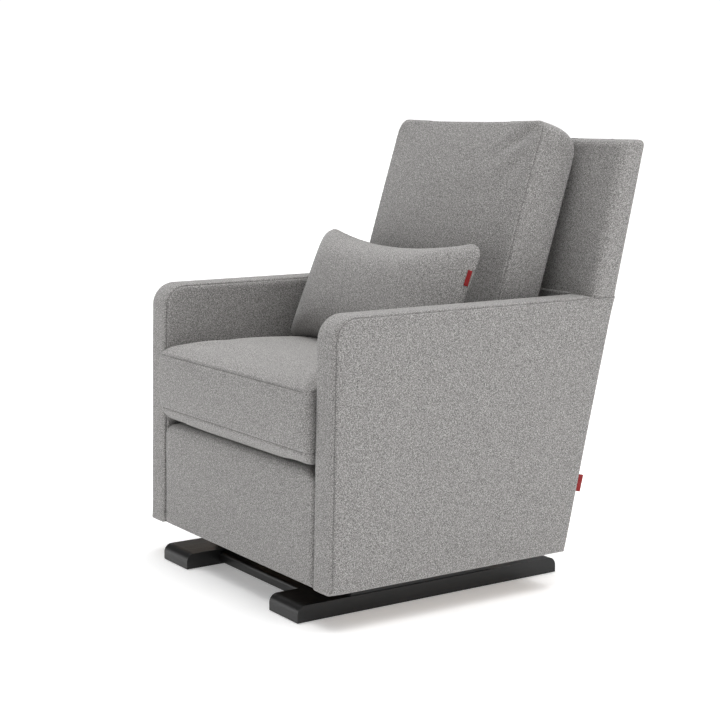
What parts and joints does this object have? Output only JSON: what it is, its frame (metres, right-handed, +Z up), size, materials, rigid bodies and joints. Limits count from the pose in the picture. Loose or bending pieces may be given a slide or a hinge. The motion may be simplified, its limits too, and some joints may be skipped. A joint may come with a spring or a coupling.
{
  "type": "glider nursery chair",
  "caption": "Upholstered armchair with loose seat, back and lumbar cushions, hung on swing links from a low black runner base so that it glides to and fro.",
  "frame": {"origin": "centre of the overall footprint on the floor", "axes": "+X towards the sitter's left hand as the chair faces -Y, +Y towards the back, +Z up"},
  "size_m": [0.75, 0.786, 0.9531],
  "materials": {
    "upholstery_fabric": "heathered woven upholstery, matt",
    "black_lacquered_wood": "black satin lacquer",
    "floor_glide_plastic": "matt nylon",
    "black_steel": "black powder coat",
    "zinc_steel": "zinc plated",
    "bumper_rubber": "moulded",
    "plywood": "sanded birch plywood",
    "hardwood": "planed, unfinished",
    "deck_felt": "needled felt",
    "webbing": "woven elastic",
    "red_tab": "plain folded ribbon"
  },
  "bodies": {
    "base": {"runner_left": "black_lacquered_wood", "runner_right": "black_lacquered_wood", "floor_pads": "floor_glide_plastic", "front_crossbar": "black_lacquered_wood", "rear_crossbar": "black_lacquered_wood", "stand_left": "black_steel", "stand_right": "black_steel", "stand_bolts": "zinc_steel", "tie_tubes": "black_steel", "travel_bumpers": "bumper_rubber", "upper_pivot_bolts": "zinc_steel", "upper_pivot_nuts": "zinc_steel", "upper_pivot_spacers": "zinc_steel"},
    "front_link_left": {"front_link_left": "black_steel", "front_bearings_left": "zinc_steel"},
    "front_link_right": {"front_link_right": "black_steel", "front_bearings_right": "zinc_steel"},
    "rear_link_left": {"rear_link_left": "black_steel", "rear_bearings_left": "zinc_steel"},
    "rear_link_right": {"rear_link_right": "black_steel", "rear_bearings_right": "zinc_steel"},
    "seat_body": {"carrier_left": "black_steel", "carrier_right": "black_steel", "inner_arm_panel_left": "plywood", "inner_arm_panel_right": "plywood", "outer_arm_panel_left": "plywood", "outer_arm_panel_right": "plywood", "side_rail_left": "hardwood", "side_rail_right": "hardwood", "arm_post_left": "hardwood", "arm_post_right": "hardwood", "arm_top_rail_left": "hardwood", "arm_top_rail_right": "hardwood", "back_post_left": "hardwood", "back_post_right": "hardwood", "arm_cover_left": "upholstery_fabric", "arm_cover_right": "upholstery_fabric", "carrier_screws": "zinc_steel", "lower_pivot_bolts": "zinc_steel", "lower_pivot_nuts": "zinc_steel", "lower_pivot_spacers": "zinc_steel", "front_rail": "hardwood", "rear_rail": "hardwood", "back_cross_rail": "hardwood", "back_top_rail": "hardwood", "corner_blocks": "hardwood", "seat_springs": "zinc_steel", "spring_clips": "zinc_steel", "back_straps": "webbing", "front_cover": "upholstery_fabric", "deck_pad": "deck_felt", "back_cover": "upholstery_fabric", "outside_back": "upholstery_fabric", "side_tab": "red_tab"},
    "seat_cushion": {"seat_cushion": "upholstery_fabric"},
    "back_cushion": {"back_cushion": "upholstery_fabric"},
    "pillow": {"lumbar_pillow": "upholstery_fabric", "pillow_tab": "red_tab"}
  },
  "joints": [
    {"name": "glide", "type": "hinge", "parent": "front_link_left", "child": "seat_body", "pos_m": [-0.29125, -0.2065, 0.102], "axis": [1, 0, 0], "range_deg": [-27, 27]},
    {"name": "front_link_left_swing", "type": "hinge", "parent": "base", "child": "front_link_left", "pos_m": [-0.29125, -0.2065, 0.232], "axis": [1, 0, 0], "range_deg": [-27, 27]},
    {"name": "front_link_right_swing", "type": "hinge", "parent": "base", "child": "front_link_right", "pos_m": [0.29125, -0.2065, 0.232], "axis": [1, 0, 0], "range_deg": [-27, 27]},
    {"name": "rear_link_left_swing", "type": "hinge", "parent": "base", "child": "rear_link_left", "pos_m": [-0.29125, 0.0185, 0.232], "axis": [1, 0, 0], "range_deg": [-27, 27]},
    {"name": "rear_link_right_swing", "type": "hinge", "parent": "base", "child": "rear_link_right", "pos_m": [0.29125, 0.0185, 0.232], "axis": [1, 0, 0], "range_deg": [-27, 27]},
    {"name": "seat_cushion_lift", "type": "slide", "parent": "seat_body", "child": "seat_cushion", "axis": [0, 0, 1], "range_m": [0, 0.66]},
    {"name": "back_cushion_lift", "type": "slide", "parent": "seat_cushion", "child": "back_cushion", "axis": [0, 0, 1], "range_m": [0, 0.5]},
    {"name": "pillow_lift", "type": "slide", "parent": "back_cushion", "child": "pillow", "axis": [0, -0.866, 0.5], "range_m": [0, 0.5]}
  ],
  "couplings": [
    {"joint": "front_link_left_swing", "follows": "glide", "ratio": -1},
    {"joint": "front_link_right_swing", "follows": "glide", "ratio": -1},
    {"joint": "rear_link_left_swing", "follows": "glide", "ratio": -1},
    {"joint": "rear_link_right_swing", "follows": "glide", "ratio": -1}
  ]
}
